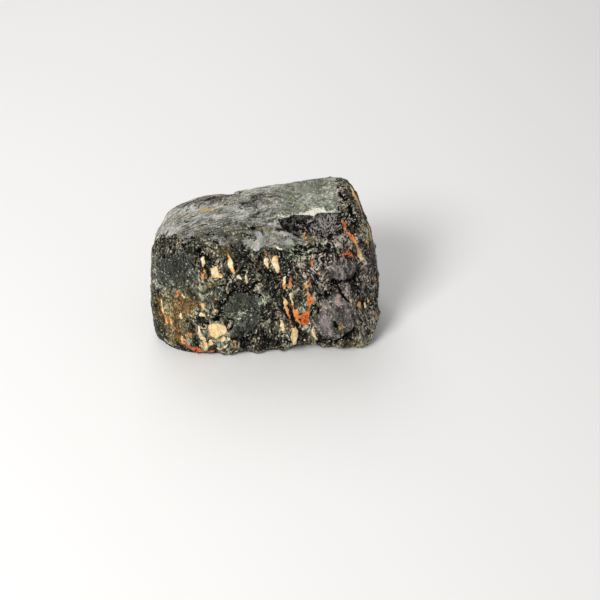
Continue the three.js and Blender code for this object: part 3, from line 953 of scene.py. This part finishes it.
sprays = add("TexVoronoi", {"Vector": shaken, "Scale": 1 / (SPRAY * MM)}, output="Color")
turn = add("VectorMath", (sprays, MIDDLE), operation="SUBTRACT")
turn = add("VectorMath", (turn, SPRAY_TURNS), operation="MULTIPLY")
turned = add("VectorRotate", {"Vector": swayed, "Rotation": turn}, rotation_type="EULER_XYZ")
across = add("Math", (add("SeparateXYZ", (shaken,)), 1 / LEAF_STRETCH), operation="MULTIPLY")
down = add("Math", (kept["leaf_level"], LEAF_SPACING * MM), operation="MULTIPLY")

ways = {"even": shaken, "leafy": add("CombineXYZ", (across, down))}
for name, place, lean, stretch in (
    ("steep", shaken, LEAN, 2.4), ("fibrous", swayed, LEAN, 6), ("sprayed", turned, 0, 6),
):
    inputs = {"Vector": place, "Rotation": (0, lean, 0), "Scale": (1, 1, stretch)}
    ways[name] = add("Mapping", inputs, vector_type="TEXTURE")
print("patterns are read in", len(ways), "ways")

# %% The patterns
PATTERNS = {  # way, size in mm, detail
    "grit": ("even", 0.34, 1),
    "crumb": ("even", 0.7, 2),
    "clump": ("even", 1.8, 2),
    "cloud": ("even", 4.5, 2),
    "needle": ("steep", 0.42, 1),
    "bundle": ("steep", 1.2, 2),
    "flow": ("fibrous", 1.3, 1),
    "fibre": ("fibrous", 0.36, 1),
    "spray": ("sprayed", 0.55, 1),
    "fold": ("leafy", 0.6, 2),
    "wave": ("leafy", 1.8, 1),
}
GRAIN = 0.45  # the width of one mineral grain, in mm

inputs = {"Vector": ways["steep"], "Scale": 1 / (GRAIN * MM)}
grains = add("TexVoronoi", inputs, output="Color")  # one random colour for each grain
split = add("SeparateColor", (grains,)).node
readings = {"grain": split.outputs["Red"], "hue": split.outputs["Green"]}
for name, (way, size, detail) in PATTERNS.items():
    inputs = {"Vector": ways[way], "Scale": 1 / (size * MM), "Detail": detail}
    readings[name] = add("TexNoise", inputs)

pattern = dict(kept)  # what was saved, with patterns that run from -0.5 to 0.5 beside it
for name, reading in readings.items():
    pattern[name] = add("Math", (reading, 0.5), operation="SUBTRACT")
pattern["clean"] = add("Math", (kept["calm"], 0), operation="MAXIMUM")
print("patterns:", ", ".join(pattern))


# %% Adding patterns up
def weighed(shares, start=0):
    """A tone: a start value plus a share of each pattern."""
    tone = start
    for name, share in shares.items():
        tone = add("Math", (pattern[name], share, tone), operation="MULTIPLY_ADD")
    return tone


def laid_over(under, over, shares, start, end, most=1, manner="MIX"):
    """A colour laid over another where a tone runs from start to end, up to a share."""
    inputs = {"Value": weighed(shares), "From Min": start, "From Max": end, "To Max": most}
    share = add("MapRange", inputs, interpolation_type="SMOOTHSTEP")
    over = linear(over) if isinstance(over, str) else over
    return add("Mix", (share, under, over), data_type="RGBA", blend_type=manner)


def step_shade_lines(level, at, half_width, broken_by):
    """Thin lines along the edges of the steps in a level, broken by a pattern, as painted shade."""
    phase = add("Math", (weighed({"crumb": 0.8}, kept[level]),), operation="FRACT")
    line = add("Math", (phase, at, half_width), operation="COMPARE")
    inputs = {"Value": pattern[broken_by], "From Min": -0.06, "From Max": 0.06}
    return add("Math", (line, add("MapRange", inputs)), operation="MULTIPLY")


# this share carries the stone's tone and the painted light and shade in places
TONE_AND_PAINTED_LIGHT_SHARE = 0.24  # how much a light or dark place moves the tone


def surface_tone(shares, contrast, lines, depth):
    """Patterns at some contrast, painted shade lines between the layers, and tone with painted light in
    places.
    """
    tone = add("Math", (weighed(shares), contrast, 0.5), operation="MULTIPLY_ADD")
    tone = add("Math", (lines, -depth, tone), operation="MULTIPLY_ADD")
    return weighed({"shade": TONE_AND_PAINTED_LIGHT_SHARE}, tone)


print("patterns are added from their middle, so a share changes only the contrast")

# %% The dark walls
# painted shade: the relief share darkens the low places of the wall and lightens its high ones
WALL_SHARES = {
    "grit": 0.6, "needle": 0.3, "fibre": 0.5, "spray": 1.6, "grain": 0.15, "bundle": 0.4,
    "clump": 0.3, "relief": 0.4, "crumb": 0.4,
}
WALL_STOPS = [
    (0.12, "#060605"), (0.3, "#1e1e1a"), (0.4, "#31302a"), (0.5, "#47453b"),
    (0.6, "#635f52"), (0.72, "#8a8371"), (0.9, "#c9c5ac"),
]
PATCHY = 2  # how much the contrast comes and goes from place to place
TINTS = {"#8c7859": 1, "#727d66": -1}  # colour, and which way the patterns lead to it

contrast = weighed({"cloud": PATCHY}, 1)
contrast = add("Math", (contrast, weighed({"calm": -0.85}, 1)), operation="MULTIPLY")
# painted shade: thin dark lines at the foot of each splinter's step
split_shade = step_shade_lines("splinter_level", at=0.55, half_width=0.08, broken_by="bundle")
wall_tone = surface_tone(WALL_SHARES, contrast, split_shade, depth=0.2)
wall = add("ValToRGB", (wall_tone,), stops=WALL_STOPS)
# painted shade: near-black in the pits and in the lowest places of the wall
wall = laid_over(wall, "#030303", {"crumb": -0.8, "spray": -1.2, "relief": -0.3}, 0.24, 0.32, 0.9)
for code, lead in TINTS.items():
    shares = {"cloud": lead, "clump": lead, "hue": 0.5 * lead}
    wall = laid_over(wall, code, shares, 0, 0.3, 0.65, "COLOR")
print("walls run through", len(WALL_STOPS), "tones, with", len(TINTS), "tints")

# %% The dusty top
# painted shade: the relief share darkens the low places of the top and lightens its high ones
TOP_SHARES = {"grit": 0.5, "fold": 0.4, "wave": 0.7, "cloud": 0.3, "relief": 0.6, "crumb": 0.5}
TOP_STOPS = [
    (0.12, "#1f1e19"), (0.3, "#55544b"), (0.4, "#797871"), (0.5, "#95948d"),
    (0.6, "#aba9a2"), (0.7, "#bfbbb5"), (0.85, "#dad5cf"),
]
# painted shade: thin dark lines at the foot of each leaf on the top
leaf_gap_shade = step_shade_lines("leaf_level", at=0.56, half_width=0.07, broken_by="wave")
dust_tone = surface_tone(TOP_SHARES, weighed({"calm": -0.5}, 1), leaf_gap_shade, depth=0.28)
dust = add("ValToRGB", (dust_tone,), stops=TOP_STOPS)
dust = laid_over(dust, "#6b6546", {"wave": -1.5, "cloud": 1.5}, 0.05, 0.35, 0.35)
print("the top runs through", len(TOP_STOPS), "tones")

# %% The slab, and the top over the walls
# painted shade: the relief share darkens the slab's low places; the shade share brings its tone and
# painted light
SLAB_SHARES = {
    "shade": TONE_AND_PAINTED_LIGHT_SHARE, "grit": 0.8, "spray": 0.5, "crumb": 0.7, "cloud": 0.8, "clump": 0.7,
    "relief": 0.5,
}
SLAB_STOPS = [
    (0.15, "#2f302a"), (0.35, "#62645c"), (0.5, "#7d7f75"), (0.65, "#999b8b"),
    (0.82, "#c2c4ac"),
]
SLAB_SPOTS = [  # colour, patterns, where it starts and is full, and how much of it
    ("#7e8179", {"glazed": 1, "cloud": 1, "clump": 0.5}, 0.2, 0.9, 0.8),
    ("#6e6c4e", {"cloud": -1.5, "crumb": 1.2, "hue": 0.3}, 0.12, 0.35, 0.6),
    ("#a9b07c", {"crust": 1, "clump": 1.5, "crumb": 1.2, "hue": 0.5}, 0.32, 0.5, 0.6),
]
slab_colour = add("ValToRGB", (weighed(SLAB_SHARES, 0.5),), stops=SLAB_STOPS)
for spot in SLAB_SPOTS:
    slab_colour = laid_over(slab_colour, *spot)
dust = laid_over(dust, slab_colour, {"slab": 1, "clump": 1.5, "cloud": 1.5}, 0.2, 0.9)
ground = laid_over(wall, dust, {"top": 1, "crumb": 1, "spray": 0.6}, 0.3, 0.7)
print("the slab runs through", len(SLAB_STOPS), "tones")

# %% [markdown]
# ### Stains
#
# Iron stains the dust ochre, fine mica dulls it mauve or lilac, and weathered feldspar frosts it
# sage. The clean faces are slate or grey. A stain is a soft veil with bright specks in it, where
# the grain holds more.

# %% Veils and specks
VEILS = [  # stain, colour, how much of it, and how it is laid on
    ("mauve", "#7d736c", 0.8, "COLOR"),
    ("lens", "#6c6967", 0.3, "MIX"),
    ("lilac", "#8f8180", 0.55, "MIX"),
    ("pink", "#b3958b", 0.8, "MIX"),
    ("ochre", "#827a53", 0.65, "COLOR"),
    ("ochre", "#756c4c", 0.25, "MIX"),
    ("slate", "#6f776b", 0.6, "COLOR"),
    ("sage", "#75806b", 0.6, "COLOR"),
]
VEIL_SHARES = {"cloud": 1.5, "clump": 0.8, "crumb": 0.8}
VEIL_RANGE, SPECK_RANGE = (0.15, 0.8), (0.62, 0.72)  # where each starts, and is full
SPECKS = [  # stain, colour, how much of it, and the patterns that make them
    ("ochre", "#94864f", 0.7, {"crumb": 1.2, "hue": 0.4}),
    ("ochre", "#b38c58", 0.6, {"grit": 1.1, "hue": 0.4}),
    ("ochre", "#c87a3a", 0.7, {"grit": 1, "hue": -0.3, "clump": 0.4}),
    ("sage", "#bac3aa", 0.85, {"needle": 1, "grit": 0.7, "grain": 0.2, "clean": -0.4}),
    ("sage", "#c9d3b8", 0.85, {"spray": 1.8, "clump": 0.5, "clean": -0.4}),
    ("mauve", "#b3a5a0", 0.6, {"spray": 0.8, "fibre": 0.6, "grain": 0.2, "clean": -0.15}),
    ("lens", "#2f2d2c", 0.75, {"fibre": 0.6, "flow": 1.8, "crumb": 0.3}),
    ("lens", "#a29b99", 0.6, {"fibre": -0.8, "flow": -1.6}),
    ("lilac", "#b8a6a4", 0.8, {"fibre": 1.2, "flow": 1.4}),
]
for name, code, most, manner in VEILS:
    ground = laid_over(ground, code, {name: 1, **VEIL_SHARES}, *VEIL_RANGE, most, manner)
for name, code, most, shares in SPECKS:
    ground = laid_over(ground, code, {name: 0.5, **shares}, *SPECK_RANGE, most)
print(len(VEILS), "veils and", len(SPECKS), "kinds of speck")

# %% The slab's crust, and the cliff
COATS = [  # colour, patterns, where it starts and is full, and how much of it
    ("#c09a4c", {"ochre_dab": 1, "fold": 1.5, "grit": 1}, 0.35, 0.65, 0.7),
    ("#e6e4d4", {"crust": 1, "crumb": 2, "grit": 1.6, "cloud": 0.8}, 0.3, 0.75, 0.95),
    # the cliff's black, the plates in it, and painted highlight: grey glints on its fresh break
    ("#040404", {"cliff": 1, "clump": 1, "fibre": -1, "flow": -1}, 0.25, 0.75, 0.95),
    ("#5a5857", {"cliff": 1, "bundle": 2, "fibre": 1}, 1, 1.2, 0.8),
    ("#a39c98", {"painted_glints": 1, "spray": 2.2, "fibre": 1.2, "flow": 0.8, "grit": 0.8}, 0.85, 1.2, 0.9),
]
for coat in COATS:
    ground = laid_over(ground, *coat)
print(len(COATS), "more coats")

# %% Feldspar, and the cracks that cut it
FELDSPAR_STOPS = [
    (0, "#fff0d2"), (0.09, "#f8dfa8"), (0.2, "#fbd08c"), (0.4, "#fbb674"), (0.6, "#f09a50"),
    (0.8, "#e17a3e"), (1, "#c0582e"),
]
feldspar_tone = weighed({"rust": 1, "clump": 0.4, "crumb": 0.9, "grit": 0.5})
pale = add("ValToRGB", (feldspar_tone,), stops=FELDSPAR_STOPS)
pale = laid_over(pale, "#4a2a1c", {"rust": 1, "crumb": 1.2, "grit": 1.2, "hue": 0.3}, 0.95, 1.15, 0.8)
colour = laid_over(ground, pale, {"feldspar": 1, "grit": 0.4, "crumb": 0.4}, 0.1, -0.04)
# painted shade: the open cracks and holes are laid near-black
colour = laid_over(colour, "#040403", {"crack": 1, "crumb": 0.9, "grit": 0.5}, 0.12, 0)
print("feldspar runs through", len(FELDSPAR_STOPS), "tones")

# %% Relief too fine for the skin, and gloss
SCHORL_IOR = 1.63
DUSTED_GLOSS = 0.05  # a tenth of the usual mirror light, because dust scatters the rest
BUMP_SHARES = {"grit": 0.6, "needle": 0.4, "fibre": 0.8, "crumb": 0.5}
BUMP_HEIGHT = 0.35  # in mm

strength = add("MapRange", {"Value": kept["calm"], "To Min": 0.9, "To Max": 0.3})
inputs = {"Height": weighed(BUMP_SHARES, 0.5), "Distance": BUMP_HEIGHT * MM, "Strength": strength}
surface = add("BsdfPrincipled", {
    "Base Color": colour,
    "Roughness": add("MapRange", {"Value": kept["top"], "To Min": 0.55, "To Max": 0.8}),
    "Normal": add("Bump", inputs),
    "IOR": SCHORL_IOR,
    "Specular IOR Level": DUSTED_GLOSS,
})
add("OutputMaterial", {"Surface": surface})
skin.materials.clear()
skin.materials.append(schorl)
print("raw_black_schorl has", len(tree.nodes), "nodes")

# %% Hand the stone to the frame
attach(stone, "root")
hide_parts("tourmaline_block")
print("the stone rides on root")

# %% [markdown]
# ## Floor, light and camera
#
# The studio is as plain as it can be, so that what shows is the stone: a pale matt floor, a key
# lamp high at the left front, and a second soft lamp at the back for the dusty top.

# %% A pale floor
FLOOR_SIZE = 3  # in metres, far past the view
CARD_ROUGHNESS = 0.9

bpy.ops.mesh.primitive_plane_add(size=FLOOR_SIZE)
floor = bpy.context.object
floor.name = "floor"
card = bpy.data.materials.new("matt_white_card")
card.use_nodes = True
card_surface = card.node_tree.nodes["Principled BSDF"]
card_surface.inputs["Base Color"].default_value = linear("#f1f0ee")
card_surface.inputs["Roughness"].default_value = CARD_ROUGHNESS
floor.data.materials.append(card)
print("the floor is", FLOOR_SIZE, "m wide")

# %% Soft light
ROOM_LIGHT = 0.36
LAMPS = [  # place and size in metres, and power in watts
    ("softbox_key", (-0.28, -0.34, 0.42), 0.22, 2.6),
    ("softbox_back", (-0.1, 0.35, 0.45), 0.35, 0.9),
]
AIM = Vector((0, 0, 0.02))

world = bpy.data.worlds.new("studio")
world.use_nodes = True
room = world.node_tree.nodes["Background"]
room.inputs["Color"].default_value = linear("#ffffff")
room.inputs["Strength"].default_value = ROOM_LIGHT
scene.world = world

for name, place, size, power in LAMPS:
    light = bpy.data.lights.new(name, "AREA")
    light.size = size
    light.energy = power
    lamp = bpy.data.objects.new(name, light)
    lamp.location = place
    lamp.rotation_euler = (AIM - Vector(place)).to_track_quat("-Z", "Y").to_euler()
    scene.collection.objects.link(lamp)
print("lamps give", sum(lamp[3] for lamp in LAMPS), "W")

# %% Camera
CAMERA_PLACE = (0.00989, -0.19804, 0.1837)
LOOKING_DOWN = 42  # degrees below level
LENS, SENSOR = 54, 36  # in mm
NEAREST = 0.01  # in metres

lens = bpy.data.cameras.new("camera")
lens.sensor_width = SENSOR
lens.lens = LENS
lens.clip_start = NEAREST
camera = bpy.data.objects.new("camera", lens)
camera.location = CAMERA_PLACE
camera.rotation_euler = (math.radians(90 - LOOKING_DOWN), 0, 0)
scene.collection.objects.link(camera)
scene.camera = camera
scene.view_settings.view_transform = "Standard"
print("the camera stands", round(Vector(CAMERA_PLACE).length, 3), "m away")

# %% Bring the scene up to date
bpy.context.view_layer.update()
